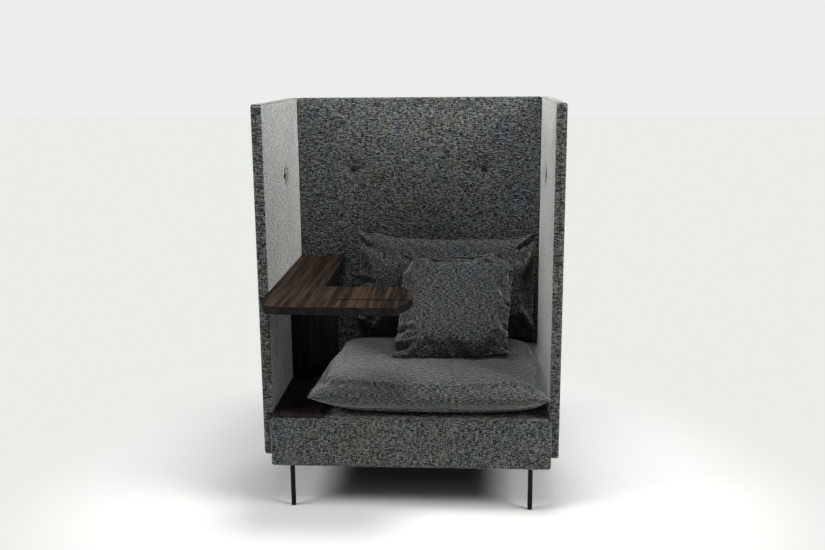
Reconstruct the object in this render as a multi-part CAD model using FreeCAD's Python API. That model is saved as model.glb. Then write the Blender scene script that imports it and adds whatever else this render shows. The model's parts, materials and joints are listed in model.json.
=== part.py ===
import FreeCAD, Part
import math
import os

from FreeCAD import Placement, Rotation, Vector

# High-backed lounge chair: padded side and back panels stand around a padded
# base on four rod legs. A console and an L-shaped table fill the left side,
# and three loose cushions lie on the rest of the deck.
# Millimetres. +Z is up, the front faces -Y, the table is on the -X side.
# Origin: on the floor, in the middle of the plan.

# Overall sizes
overall_height = 1350.0
inner_width = 918.0  # between the inner faces of the side panels
side_depth = 661.0  # side panel, front edge to rear face
table_overhang = 193.0  # table top in front of the side panels

# Padded panels
panel_thickness = 34.0
panel_bottom = 184.0
core_thickness = 18.0
cover_thickness = 1.0
side_corner_radius = 12.0
back_corner_radius = 9.0
panel_edge_radius = 7.0

# Buttons that draw the padding in
button_height = 1086.0
back_button_offset = 246.0  # from the middle of the back
side_button_setback = 253.0  # from the back panel's face
button_radius = 12.0
button_rise = 6.0
dimple_depth = 5.0
dimple_radius = 45.0
tie_radius = 1.3
tie_clearance = 0.3
toggle_radius = 10.0
toggle_thickness = 2.0

# Bolts, nuts and the holes they need
bolt_radius = 4.0
bolt_clearance = 0.5
bolt_head_radius = 8.0
bolt_head_height = 5.0
panel_bolt_grip = 45.0  # bolt length inside the back core
panel_bolt_foot = 196.0  # lowest bolt over the panel's bottom
panel_bolt_head = 150.0  # highest bolt under the panel's top
cross_dowel_radius = 7.0
cross_dowel_length = 14.0
cross_dowel_setback = 10.0  # bolt tip past the dowel's axis
tee_flange_radius = 11.0
tee_flange_thickness = 1.5
tee_barrel_radius = 5.5
tee_barrel_length = 12.0
base_bolt_height = 240.0
side_bolt_margin = 94.0  # outer bolts in from the base's front and rear
rear_bolt_margin = 199.0  # outer bolts in from the base's sides

# Base
base_bottom = 153.0
base_top = 322.0
base_front_proud = 20.0  # padded front ahead of the side panels
front_foam_thickness = 7.0
front_top_radius = 18.0
front_bottom_radius = 8.5
front_edge_radius = 8.0
rail_thickness = 22.0
deck_thickness = 25.0  # from the rails' top to the underside of the cover
corner_block_width = 80.0
corner_block_depth = 60.0
strap_width = 50.0
strap_thickness = 1.5
strap_end_margin = 5.0
long_strap_count = 7
cross_strap_count = 5

# Legs
leg_diameter = 16.0
leg_side_inset = 58.0  # leg axis in from the side panel's inner face
leg_front_inset = 29.0  # leg axis behind the padded front
glide_height = 4.0
glide_diameter = 15.0
glide_edge_radius = 1.0
glide_peg_diameter = 8.0
glide_peg_length = 10.0
glide_peg_clearance = 0.5
stud_diameter = 10.0
stud_length = 16.0
stud_clearance = 0.5
plate_size = 52.0
plate_thickness = 4.0
plate_proud = 2.5  # under the base
plate_edge = 18.0  # leg axis to the plate's near edge
plate_screw_offset = 19.0
screw_radius = 2.0
screw_head_radius = 4.0
screw_head_height = 2.5
plate_screw_length = 26.0

# Console: a shelf on the deck with an upright board that carries the table
console_width = 172.0
panel_gap = 0.5  # joinery to upholstery
shelf_thickness = 16.0
shelf_front_setback = 6.0  # behind the padded front
board_thickness = 18.0
board_setback = 259.0  # board's front face ahead of the back panel's face
dowel_radius = 4.0
dowel_length = 26.0
shelf_dowel_depth = 12.0
dowel_pitch = 110.0

# Table top
table_top = 747.0
table_thickness = 24.0
table_length = 473.5
front_run_depth = 287.0
table_corner_radius = 80.0
table_end_bulge = 42.0
table_nose_radius = 15.0
table_tail_radius = 25.0
table_inner_radius = 15.0
edge_band_thickness = 1.5
veneer_thickness = 0.8
groove_width = 12.0
groove_depth = 12.0
groove_length = 238.0
groove_setback = 103.0  # groove axis behind the table's front edge
stiffener_length = 390.0
stiffener_width = 30.0
stiffener_thickness = 6.0
stiffener_margin = 38.0  # bar axis in from the edges of the front run
stiffener_end_gap = 30.0
stiffener_screw_length = 14.0
stiffener_screw_count = 3
bracket_plate = 50.0
bracket_plate_thickness = 4.0
bracket_pin_radius = 6.0
bracket_pin_reach = 80.0  # pin length inside the table
bracket_margin = 99.0  # outer brackets in from the side panel's front and the back
bracket_screw_length = 12.0
bracket_screw_offset = 17.0

# Loose cushions
seam_height = 3.0  # half thickness at the end seams
shoulder_share = 0.8  # height of a section's shoulder over its crown
rest_gap = 0.3  # soft parts to what they lie on
soft_gap = 3.0  # soft parts to upright neighbours

seat_seam_rise = 80.0  # seam over the base's top
seat_crown = 56.0  # top over the seam
seat_belly = 88.0  # depth under the seam before the deck flattens it
seat_shoulder = 62.0
seat_overhang = 20.0  # seat cushion in front of the base
seat_rear_gap = 8.0
seat_left_reach = 50.0  # front left corner over the shelf
seat_left_taper = 37.0  # less reach at the rear
seat_ear = 11.0  # front right corner in front of the side panel

back_cushion_side_gap = 17.0
back_cushion_table_gap = 48.5
back_cushion_height = 405.0
back_cushion_thickness = 138.0
back_cushion_draw = 24.0  # the top edge dips between its corners
back_cushion_tuck = 4.0  # the same along the lower edge
back_cushion_shoulder = 70.0
back_cushion_lean = 3.0
back_cushion_sink = 14.0  # lower seam under the top of the seat cushion

pillow_width = 446.0
pillow_height = 404.0
pillow_thickness = 126.0
pillow_draw = 20.0
pillow_tuck = -5.0  # the lower edge sags below its corners
pillow_shoulder = 80.0
pillow_lean = 38.0
pillow_middle_x = 146.0
pillow_seam_rise = 4.5  # lower seam over the top of the seat cushion

# Places that follow from the sizes
half_inner = inner_width / 2
padding = (panel_thickness - core_thickness) / 2
rear_y = (side_depth + table_overhang) / 2
back_face_y = rear_y - panel_thickness
side_front_y = rear_y - side_depth
table_front_y = side_front_y - table_overhang
panel_height = overall_height - panel_bottom
base_front_y = side_front_y - base_front_proud
front_padding = front_foam_thickness + cover_thickness
frame_front_y = base_front_y + front_padding
frame_rear_y = back_face_y - cover_thickness
frame_half = half_inner - cover_thickness
rail_bottom = base_bottom + cover_thickness
rail_top = base_top - cover_thickness - deck_thickness
joinery_left = -half_inner + panel_gap
console_right = joinery_left + console_width
plate_bottom = base_bottom - plate_proud
shelf_top = base_top + shelf_thickness
table_bottom = table_top - table_thickness
board_front_y = back_face_y - board_setback
seat_seam_z = base_top + seat_seam_rise
seat_top = seat_seam_z + seat_crown

axis_x = Vector(1, 0, 0)
axis_y = Vector(0, 1, 0)
axis_z = Vector(0, 0, 1)


def block(x0, x1, y0, y1, z0, z1):
    return Part.makeBox(x1 - x0, y1 - y0, z1 - z0, Vector(x0, y0, z0))


def rod(radius, length, start, direction):
    return Part.makeCylinder(radius, length, start, direction)


def mirrored(shape):
    return shape.mirror(Vector(0, 0, 0), axis_x)


def edges_along(shape, direction):
    found = []
    for edge in shape.Edges:
        ends = edge.Vertexes
        if len(ends) < 2:
            continue
        run = ends[1].Point - ends[0].Point
        if run.cross(direction).Length < 1e-6 * run.Length:
            found.append(edge)
    return found


def edges_at(shape, x, y):
    found = []
    for edge in edges_along(shape, axis_z):
        spot = edge.Vertexes[0].Point
        if math.hypot(spot.x - x, spot.y - y) < 0.01:
            found.append(edge)
    return found


def countersunk_screw(tip_direction, start, length):
    # The head's flat top is at start, and the tip points along the direction.
    head = Part.makeCone(
        screw_head_radius, screw_radius, screw_head_height, start, tip_direction
    )
    shank = rod(screw_radius, length, start, tip_direction)
    return head.fuse(shank)


# Padded panels

def panel_body(length, corner_radius, inset):
    body = Part.makeBox(
        panel_thickness - 2 * inset,
        length - 2 * inset,
        panel_height - 2 * inset,
        Vector(inset, inset, inset),
    )
    body = body.makeFillet(corner_radius - inset, edges_along(body, axis_x))
    rims = [edge for edge in body.Edges if edge.BoundBox.XLength < 1e-6]
    return body.makeFillet(panel_edge_radius - inset, rims)


def dimple_ball_radius():
    return (dimple_radius**2 + dimple_depth**2) / (2 * dimple_depth)


def cut_dimples(body, buttons, inset):
    ball = dimple_ball_radius()
    for y, z in buttons:
        body = body.cut(Part.makeSphere(ball + inset, Vector(dimple_depth - ball, y, z)))
    return body


def padded_panel(length, corner_radius, buttons):
    # Local frame: x from the inner face outwards, y along the panel, z up.
    outside = cut_dimples(panel_body(length, corner_radius, 0.0), buttons, 0.0)
    lining = cut_dimples(
        panel_body(length, corner_radius, cover_thickness), buttons, cover_thickness
    )
    core = Part.makeBox(
        core_thickness,
        length - 2 * padding,
        panel_height - 2 * padding,
        Vector(padding, padding, padding),
    )
    cover = outside.cut(lining)
    foam = lining.cut(core)
    inner_half = Part.makeBox(panel_thickness / 2, length, panel_height)
    outer_half = inner_half.translated(Vector(panel_thickness / 2, 0, 0))
    return {
        "core": core,
        "inner_foam": foam.common(inner_half),
        "outer_foam": foam.common(outer_half),
        "inner_cover": cover.common(inner_half),
        "outer_cover": cover.common(outer_half),
    }


def place_side(shape):
    return shape.translated(Vector(half_inner, side_front_y, panel_bottom))


def place_back(shape):
    turned = shape.copy()
    turned.Placement = Placement(
        Vector(half_inner, back_face_y, panel_bottom), Rotation(axis_z, 90)
    )
    return turned


def button_cap(y, z):
    ball = dimple_ball_radius()
    seat = dimple_depth - ball + math.sqrt(ball**2 - button_radius**2)
    cap_ball = (button_radius**2 + button_rise**2) / (2 * button_rise)
    cap = Part.makeSphere(cap_ball, Vector(seat - button_rise + cap_ball, y, z))
    front = block(
        seat - button_rise, seat, y - button_radius, y + button_radius,
        z - button_radius, z + button_radius,
    )
    return cap.common(front)


def button_tie(y, z, extra):
    ball = dimple_ball_radius()
    seat = dimple_depth - ball + math.sqrt(ball**2 - button_radius**2)
    back = padding + core_thickness
    cord = rod(tie_radius + extra, back - seat, Vector(seat, y, z), axis_x)
    toggle = rod(toggle_radius + extra, toggle_thickness + extra, Vector(back, y, z), axis_x)
    return cord.fuse(toggle)


button_z = button_height - panel_bottom
side_button = (back_face_y - side_button_setback - side_front_y, button_z)
back_buttons = [
    (half_inner - back_button_offset, button_z),
    (half_inner + back_button_offset, button_z),
]

right_side = {
    name: place_side(shape)
    for name, shape in padded_panel(side_depth, side_corner_radius, [side_button]).items()
}
left_side = {name: mirrored(shape) for name, shape in right_side.items()}
back = {
    name: place_back(shape)
    for name, shape in padded_panel(inner_width, back_corner_radius, back_buttons).items()
}

right_button = place_side(button_cap(*side_button))
right_tie = place_side(button_tie(*side_button, 0.0))
right_tie_hole = place_side(button_tie(*side_button, tie_clearance))
back_caps = []
ties = [right_tie, mirrored(right_tie)]
tie_holes = [right_tie_hole, mirrored(right_tie_hole)]
for y, z in back_buttons:
    back_caps.append(place_back(button_cap(y, z)))
    ties.append(place_back(button_tie(y, z, 0.0)))
    tie_holes.append(place_back(button_tie(y, z, tie_clearance)))


# Bolts between the panels and from the base into them

def bolt(start, direction, shank_length, extra):
    head = rod(bolt_head_radius + extra, bolt_head_height, start, direction * -1)
    shank = rod(bolt_radius + extra, shank_length, start, direction)
    return head.fuse(shank)


def tee_nut(face, direction):
    # The flange lies on the core's far face and the barrel points back to the bolt.
    flange = rod(tee_flange_radius, tee_flange_thickness, face, direction)
    barrel = rod(tee_barrel_radius, tee_barrel_length, face, direction * -1)
    bore_start = face - direction * tee_barrel_length
    bore = rod(bolt_radius, tee_barrel_length + tee_flange_thickness, bore_start, direction)
    return flange.fuse(barrel).cut(bore)


back_middle_y = back_face_y + panel_thickness / 2
core_outer = padding + core_thickness
panel_shank = core_outer + padding + panel_bolt_grip
panel_bolts = []
cross_dowels = []
bolt_holes = []
dowel_holes = []
lowest_bolt = panel_bottom + panel_bolt_foot
highest_bolt = overall_height - panel_bolt_head
for z in (lowest_bolt, (lowest_bolt + highest_bolt) / 2, highest_bolt):
    start = Vector(half_inner + core_outer, back_middle_y, z)
    dowel_x = half_inner - padding - panel_bolt_grip + cross_dowel_setback
    dowel_start = Vector(dowel_x, back_middle_y - cross_dowel_length / 2, z)
    dowel = rod(cross_dowel_radius, cross_dowel_length, dowel_start, axis_y)
    shank = rod(bolt_radius, panel_shank, start, axis_x * -1)
    for turn in (lambda shape: shape, mirrored):
        panel_bolts.append(turn(bolt(start, axis_x * -1, panel_shank, 0.0)))
        bolt_holes.append(turn(bolt(start, axis_x * -1, panel_shank, bolt_clearance)))
        cross_dowels.append(turn(dowel.cut(shank)))
        dowel_holes.append(turn(dowel))

base_bolts = []
tee_nuts = []
tee_holes = []
base_shank = rail_thickness + cover_thickness + core_outer
base_middle_y = (side_front_y + back_face_y) / 2
for y in (side_front_y + side_bolt_margin, base_middle_y, back_face_y - side_bolt_margin):
    inner_face = Vector(frame_half - rail_thickness, y, base_bolt_height)
    core_face = inner_face + axis_x * base_shank
    for turn in (lambda shape: shape, mirrored):
        base_bolts.append(turn(bolt(inner_face, axis_x, base_shank, 0.0)))
        bolt_holes.append(turn(bolt(inner_face, axis_x, base_shank, bolt_clearance)))
        tee_nuts.append(turn(tee_nut(core_face, axis_x)))
        tee_holes.append(turn(rod(tee_barrel_radius, tee_barrel_length, core_face, axis_x * -1)))
        tee_holes.append(turn(rod(tee_flange_radius, tee_flange_thickness, core_face, axis_x)))
for x in (rear_bolt_margin - half_inner, 0, half_inner - rear_bolt_margin):
    inner_face = Vector(x, frame_rear_y - rail_thickness, base_bolt_height)
    core_face = inner_face + axis_y * base_shank
    base_bolts.append(bolt(inner_face, axis_y, base_shank, 0.0))
    bolt_holes.append(bolt(inner_face, axis_y, base_shank, bolt_clearance))
    tee_nuts.append(tee_nut(core_face, axis_y))
    tee_holes.append(rod(tee_barrel_radius, tee_barrel_length, core_face, axis_y * -1))
    tee_holes.append(rod(tee_flange_radius, tee_flange_thickness, core_face, axis_y))


# Base frame, deck and covers

def front_block(inset):
    half = half_inner + front_padding - inset
    body = block(
        -half, half, base_front_y + inset, side_front_y,
        base_bottom + inset, base_top - inset,
    )
    upper = []
    lower = []
    for edge in edges_along(body, axis_y):
        if edge.BoundBox.ZMax > (base_bottom + base_top) / 2:
            upper.append(edge)
        else:
            lower.append(edge)
    body = body.makeFillet(front_top_radius - inset, upper)
    lower = [
        edge for edge in edges_along(body, axis_y)
        if abs(edge.BoundBox.ZMax - base_bottom - inset) < 1e-3
        and abs(abs(edge.BoundBox.XMax) - half) < 1e-3
    ]
    body = body.makeFillet(front_bottom_radius - inset, lower)
    rims = [
        edge for edge in body.Edges
        if edge.BoundBox.YMax < base_front_y + inset + 1e-3
    ]
    return body.makeFillet(front_edge_radius - inset, rims)


front_outside = front_block(0.0)
front_lining = front_block(cover_thickness)
front_foam = front_lining.cut(
    block(-half_inner, half_inner, frame_front_y, side_front_y, base_bottom, rail_top)
)
front_cover = front_outside.cut(front_lining)

base_cover = block(
    -half_inner, half_inner, side_front_y, back_face_y, base_bottom, base_top
).cut(block(-frame_half, frame_half, side_front_y, frame_rear_y, base_bottom, base_top - cover_thickness))

front_rail = block(
    -frame_half, frame_half, frame_front_y, frame_front_y + rail_thickness, rail_bottom, rail_top
)
rear_rail = block(
    -frame_half, frame_half, frame_rear_y - rail_thickness, frame_rear_y, rail_bottom, rail_top
)
rail_y0 = frame_front_y + rail_thickness
rail_y1 = frame_rear_y - rail_thickness
right_rail = block(frame_half - rail_thickness, frame_half, rail_y0, rail_y1, rail_bottom, rail_top)
left_rail = mirrored(right_rail)
console_rail = block(
    console_right - rail_thickness, console_right, rail_y0, rail_y1, rail_bottom, rail_top
)

leg_x = half_inner - leg_side_inset
leg_front_y = base_front_y + leg_front_inset
leg_rear_y = frame_rear_y - (leg_front_y - frame_front_y)
block_x0 = frame_half - rail_thickness - corner_block_width
block_x1 = frame_half - rail_thickness
corner_blocks = []
for y0, y1 in ((rail_y0, rail_y0 + corner_block_depth), (rail_y1 - corner_block_depth, rail_y1)):
    corner = block(block_x0, block_x1, y0, y1, rail_bottom, rail_top)
    corner_blocks += [corner, mirrored(corner)]


def leg_rod(x, y):
    shaft = rod(leg_diameter / 2, plate_bottom - glide_height, Vector(x, y, glide_height), axis_z)
    stud = rod(stud_diameter / 2, stud_length, Vector(x, y, plate_bottom), axis_z)
    socket = rod(
        glide_peg_diameter / 2, glide_peg_length + glide_peg_clearance,
        Vector(x, y, glide_height), axis_z,
    )
    return shaft.fuse(stud).cut(socket)


def leg_glide(x, y):
    foot = rod(glide_diameter / 2, glide_height, Vector(x, y, 0), axis_z)
    sole = [edge for edge in foot.Edges if edge.BoundBox.ZMax < 1e-6]
    foot = foot.makeFillet(glide_edge_radius, sole)
    peg = rod(glide_peg_diameter / 2, glide_peg_length, Vector(x, y, glide_height), axis_z)
    return foot.fuse(peg)


def leg_plate_box(x, y, towards):
    # towards is +1 where the plate runs rearwards from the leg, else -1
    y_near = y - towards * plate_edge
    y_far = y_near + towards * plate_size
    half = plate_size / 2
    return block(
        x - half, x + half, min(y_near, y_far), max(y_near, y_far),
        plate_bottom, plate_bottom + plate_thickness,
    )


legs = {}
glides = []
leg_plates = []
plate_pockets = []
leg_screws = []
stud_holes = []
leg_places = {
    "front_left_leg": (-leg_x, leg_front_y, 1),
    "front_right_leg": (leg_x, leg_front_y, 1),
    "rear_left_leg": (-leg_x, leg_rear_y, -1),
    "rear_right_leg": (leg_x, leg_rear_y, -1),
}
for name, (x, y, towards) in leg_places.items():
    legs[name] = leg_rod(x, y)
    glides.append(leg_glide(x, y))
    pocket = leg_plate_box(x, y, towards)
    stud = rod(stud_diameter / 2, stud_length, Vector(x, y, plate_bottom), axis_z)
    middle = pocket.CenterOfMass
    screws = []
    for dx in (-plate_screw_offset, plate_screw_offset):
        for dy in (-plate_screw_offset, plate_screw_offset):
            spot = Vector(middle.x + dx, middle.y + dy, plate_bottom)
            screws.append(countersunk_screw(axis_z, spot, plate_screw_length))
    leg_plates.append(pocket.cut([stud] + screws))
    plate_pockets.append(pocket)
    leg_screws += screws
    stud_holes.append(
        rod(stud_diameter / 2 + stud_clearance, stud_length + stud_clearance,
            Vector(x, y, plate_bottom), axis_z)
    )

frame_cutters = plate_pockets + leg_screws + stud_holes + bolt_holes
front_rail = front_rail.cut(frame_cutters)
rear_rail = rear_rail.cut(frame_cutters)
right_rail = right_rail.cut(frame_cutters)
left_rail = left_rail.cut(frame_cutters)
corner_blocks = [corner.cut(frame_cutters) for corner in corner_blocks]

dust_cover = block(
    -frame_half, frame_half, side_front_y, frame_rear_y, base_bottom, rail_bottom
).cut(plate_pockets)
front_cover = front_cover.cut(plate_pockets)
base_cover = base_cover.cut(plate_pockets)

straps = []
bay_left = console_right
bay_right = frame_half
long_pitch = (bay_right - bay_left) / long_strap_count
for index in range(long_strap_count):
    middle = bay_left + long_pitch * (index + 0.5)
    straps.append(block(
        middle - strap_width / 2, middle + strap_width / 2,
        frame_front_y + strap_end_margin, frame_rear_y - strap_end_margin,
        rail_top, rail_top + strap_thickness,
    ))
cross_pitch = (rail_y1 - rail_y0) / cross_strap_count
for index in range(cross_strap_count):
    middle = rail_y0 + cross_pitch * (index + 0.5)
    straps.append(block(
        bay_left - rail_thickness + strap_end_margin, bay_right - strap_end_margin,
        middle - strap_width / 2, middle + strap_width / 2,
        rail_top + strap_thickness, rail_top + 2 * strap_thickness,
    ))

deck_top = base_top - cover_thickness
console_deck = block(
    -frame_half, console_right - rail_thickness, side_front_y, frame_rear_y, rail_top, deck_top
)
deck_foam = block(
    console_right - rail_thickness, frame_half, side_front_y, frame_rear_y,
    rail_top + 2 * strap_thickness, deck_top,
)

base_cover = base_cover.cut(bolt_holes)
panel_cutters = bolt_holes + dowel_holes + tee_holes + tie_holes


front_foam = front_foam.cut(straps)

# Console and table

shelf = block(
    joinery_left, console_right, base_front_y + shelf_front_setback,
    back_face_y - panel_gap, base_top, shelf_top,
)
board = block(
    joinery_left, console_right, board_front_y, board_front_y + board_thickness,
    shelf_top, table_bottom,
)
board_dowels = []
for step in (-0.5, 0.5):
    spot = Vector(
        (joinery_left + console_right) / 2 + step * dowel_pitch,
        board_front_y + board_thickness / 2, 0,
    )
    lower = spot + Vector(0, 0, shelf_top - shelf_dowel_depth)
    upper = spot + Vector(0, 0, table_bottom + shelf_dowel_depth - dowel_length)
    board_dowels.append(rod(dowel_radius, dowel_length, lower, axis_z))
    board_dowels.append(rod(dowel_radius, dowel_length, upper, axis_z))
shelf = shelf.cut(board_dowels)
board = board.cut(board_dowels)


def table_blank():
    left = joinery_left
    right = left + table_length
    front = table_front_y
    back_edge = front + front_run_depth
    rear = back_face_y - panel_gap
    nose = right - table_end_bulge
    corner = table_corner_radius
    inner = table_inner_radius
    slant = math.sqrt(0.5)
    corner_mid = Vector(left + corner * (1 - slant), front + corner * (1 - slant), 0)
    inner_mid = Vector(console_right + inner * (1 - slant), back_edge + inner * (1 - slant), 0)
    spots = [
        Vector(left, rear, 0),
        Vector(left, front + corner, 0),
        Vector(left + corner, front, 0),
        Vector(nose, front, 0),
        Vector(nose, back_edge, 0),
        Vector(console_right + inner, back_edge, 0),
        Vector(console_right, back_edge + inner, 0),
        Vector(console_right, rear, 0),
    ]
    outline = Part.Wire([
        Part.LineSegment(spots[0], spots[1]).toShape(),
        Part.Arc(spots[1], corner_mid, spots[2]).toShape(),
        Part.LineSegment(spots[2], spots[3]).toShape(),
        Part.Arc(spots[3], Vector(right, (front + back_edge) / 2, 0), spots[4]).toShape(),
        Part.LineSegment(spots[4], spots[5]).toShape(),
        Part.Arc(spots[5], inner_mid, spots[6]).toShape(),
        Part.LineSegment(spots[6], spots[7]).toShape(),
        Part.LineSegment(spots[7], spots[0]).toShape(),
    ])
    blank = Part.Face(outline).extrude(Vector(0, 0, table_thickness))
    blank = blank.makeFillet(table_nose_radius, edges_at(blank, nose, front))
    blank = blank.makeFillet(table_tail_radius, edges_at(blank, nose, back_edge))
    return blank.translated(Vector(0, 0, table_bottom))


table_solid = table_blank()
under_faces = [face for face in table_solid.Faces if face.BoundBox.ZMax < table_bottom + 1e-6]
inner_outline = under_faces[0].makeOffset2D(-edge_band_thickness)
table_inside = inner_outline.extrude(Vector(0, 0, table_thickness))
veneer_bottom = table_top - veneer_thickness
veneer_slab = block(
    -half_inner, half_inner, table_front_y, rear_y, veneer_bottom, table_top
)
groove_y = table_front_y + groove_setback
groove_right = joinery_left + table_length
groove = block(
    groove_right - groove_length, groove_right + edge_band_thickness,
    groove_y - groove_width / 2, groove_y + groove_width / 2,
    table_top - groove_depth, table_top,
)
table_band = table_solid.cut(table_inside).cut(groove)
table_veneer = table_inside.common(veneer_slab).cut(groove)
table_core = table_inside.cut(veneer_slab).cut(groove)

stiffeners = []
stiffener_screws = []
bar_x0 = joinery_left + stiffener_end_gap
for y in (
    table_front_y + stiffener_margin,
    table_front_y + front_run_depth - stiffener_margin,
):
    bar = block(
        bar_x0, bar_x0 + stiffener_length, y - stiffener_width / 2, y + stiffener_width / 2,
        table_bottom, table_bottom + stiffener_thickness,
    )
    screw_pitch = stiffener_length / stiffener_screw_count
    screws = []
    for index in range(stiffener_screw_count):
        spot = Vector(bar_x0 + screw_pitch * (index + 0.5), y, table_bottom)
        screws.append(countersunk_screw(axis_z, spot, stiffener_screw_length))
    stiffeners.append(bar.cut(screws))
    stiffener_screws += screws
    table_core = table_core.cut([bar] + screws)

brackets = []
bracket_pockets = []
bracket_screws = []
bracket_z = (table_bottom + veneer_bottom) / 2
bracket_half = bracket_plate / 2
core_inner_x = -half_inner - padding
for y in (side_front_y + bracket_margin, base_middle_y, back_face_y - bracket_margin):
    plate = block(
        core_inner_x, core_inner_x + bracket_plate_thickness,
        y - bracket_half, y + bracket_half, bracket_z - bracket_half, bracket_z + bracket_half,
    )
    pin_length = padding + panel_gap + edge_band_thickness + bracket_pin_reach
    pin = rod(bracket_pin_radius, pin_length, Vector(core_inner_x, y, bracket_z), axis_x)
    bracket = plate.fuse(pin)
    for dy in (-bracket_screw_offset, bracket_screw_offset):
        spot = Vector(core_inner_x + bracket_plate_thickness, y + dy, bracket_z)
        bracket_screws.append(countersunk_screw(axis_x * -1, spot, bracket_screw_length))
    bracket_pockets.append(bracket)
    brackets.append(bracket.cut(bracket_screws))

table_core = table_core.cut(bracket_pockets + board_dowels)
table_band = table_band.cut(bracket_pockets)
left_cutters = panel_cutters + bracket_pockets + bracket_screws

right_side = {name: shape.cut(panel_cutters) for name, shape in right_side.items()}
left_side = {name: shape.cut(left_cutters) for name, shape in left_side.items()}
back = {name: shape.cut(panel_cutters) for name, shape in back.items()}


# Loose cushions

def half_profile(half, height, shoulder):
    # Three tangent arcs from (-half, 0) over the crown (0, height) to (half, 0),
    # each as start, middle and end.
    rise = height * shoulder_share
    reach = half - shoulder
    crown_radius = (reach**2 + (height - rise) ** 2) / (2 * (height - rise))
    normal = (reach / crown_radius, (height - crown_radius - rise) / crown_radius)
    run_square = shoulder**2 + rise**2
    along = shoulder * normal[0] + rise * normal[1]
    edge_radius = -run_square / (2 * along)
    centre = (-reach + edge_radius * normal[0], rise + edge_radius * normal[1])
    chord_mid = (-half + shoulder / 2, rise / 2)
    to_mid = (chord_mid[0] - centre[0], chord_mid[1] - centre[1])
    scale = edge_radius / math.hypot(to_mid[0], to_mid[1])
    edge_mid = (centre[0] + to_mid[0] * scale, centre[1] + to_mid[1] * scale)
    return [
        ((-half, 0.0), edge_mid, (-reach, rise)),
        ((-reach, rise), (0.0, height), (reach, rise)),
        ((reach, rise), (-edge_mid[0], edge_mid[1]), (half, 0.0)),
    ]


def section(low, high, top, bottom, shoulder, place):
    middle = (low + high) / 2
    half = (high - low) / 2
    edges = []
    for start, mid, end in half_profile(half, top, shoulder):
        corners = [place(middle + u, w) for u, w in (start, mid, end)]
        edges.append(Part.Arc(*corners).toShape())
    for start, mid, end in reversed(half_profile(half, bottom, shoulder)):
        corners = [place(middle + u, -w) for u, w in (end, mid, start)]
        edges.append(Part.Arc(*corners).toShape())
    return Part.Wire(edges)


def swell(station):
    return math.sqrt(1 - station**4)


def swollen(station, full, inset):
    edge = seam_height - inset
    return edge + (full - inset - edge) * swell(station)


stations = (-1.0, -0.96, -0.86, -0.68, -0.4, 0.0, 0.4, 0.68, 0.86, 0.96, 1.0)


def seat_form(inset):
    y0 = base_front_y - seat_overhang
    y1 = back_face_y - seat_rear_gap
    half_depth = (y1 - y0) / 2
    wires = []
    for station in stations:
        y = (y0 + y1) / 2 + station * (half_depth - inset)
        share = (y - y0) / (y1 - y0)
        left = console_right - seat_left_reach + seat_left_taper * share
        right = half_inner - soft_gap - 1
        if y < side_front_y - soft_gap:
            right += seat_ear * (side_front_y - soft_gap - y) / (side_front_y - soft_gap - y0)
        wires.append(section(
            left + 1.5 * inset, right - 1.5 * inset,
            swollen(station, seat_crown, inset), swollen(station, seat_belly, inset),
            seat_shoulder, lambda u, w, y=y: Vector(u, y, w),
        ))
    form = Part.makeLoft(wires, True, False)
    # The belly is flat where it lies on the deck, and the rear left corner is
    # pressed in by the console's upright board.
    deck_z = base_top + rest_gap - seat_seam_z
    form = form.cut(block(
        -half_inner, 2 * half_inner, 2 * y0, 2 * y1, -2 * seat_belly, deck_z + inset
    ))
    return form.cut(block(
        -half_inner, console_right + soft_gap + inset,
        board_front_y - soft_gap - inset, 2 * y1, -seat_belly, seat_belly,
    ))


def pillow_form(width, height, thickness, draw, tuck, shoulder, inset):
    # Local frame: x along the width, y up from the lower seam, z to the front.
    wires = []
    for station in stations:
        x = station * (width / 2 - inset)
        pull = 1 - station**2
        full = swollen(station, thickness / 2, inset)
        wires.append(section(
            tuck * pull + 1.5 * inset, height - draw * pull - 1.5 * inset, full, full,
            shoulder, lambda u, w, x=x: Vector(x, u, w),
        ))
    return Part.makeLoft(wires, True, False)


def upholstered(form):
    # Two cover panels meet at the seam plane around one filling.
    outside = form(0.0)
    filling = form(cover_thickness)
    shell = outside.cut(filling)
    reach = 2 * overall_height
    upper = block(-reach, reach, -reach, reach, 0, reach)
    lower = block(-reach, reach, -reach, reach, -reach, 0)
    return {"filling": filling, "front": shell.common(upper), "rear": shell.common(lower)}


def placed(shapes, spot, lean):
    result = {}
    for name, shape in shapes.items():
        moved = shape.copy()
        moved.Placement = Placement(spot, Rotation(axis_x, lean))
        result[name] = moved
    return result


seat_cushion = placed(upholstered(seat_form), Vector(0, 0, seat_seam_z), 0)

back_cushion_left = console_right + back_cushion_table_gap
back_cushion_right = half_inner - back_cushion_side_gap
back_cushion_width = back_cushion_right - back_cushion_left
back_cushion_x = (back_cushion_left + back_cushion_right) / 2
back_cushion_run = back_cushion_height * math.sin(math.radians(back_cushion_lean))
back_cushion_y = back_face_y - soft_gap - (back_cushion_thickness + back_cushion_run) / 2
back_cushion = placed(
    upholstered(lambda inset: pillow_form(
        back_cushion_width, back_cushion_height, back_cushion_thickness,
        back_cushion_draw, back_cushion_tuck, back_cushion_shoulder, inset,
    )),
    Vector(back_cushion_x, back_cushion_y, seat_top - back_cushion_sink), 90 - back_cushion_lean,
)

pillow_run = pillow_height * math.sin(math.radians(pillow_lean))
pillow_y = back_face_y - back_cushion_thickness - 2 * soft_gap - pillow_run
pillow = placed(
    upholstered(lambda inset: pillow_form(
        pillow_width, pillow_height, pillow_thickness,
        pillow_draw, pillow_tuck, pillow_shoulder, inset,
    )),
    Vector(pillow_middle_x, pillow_y, seat_top + pillow_seam_rise), 90 - pillow_lean,
)

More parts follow.
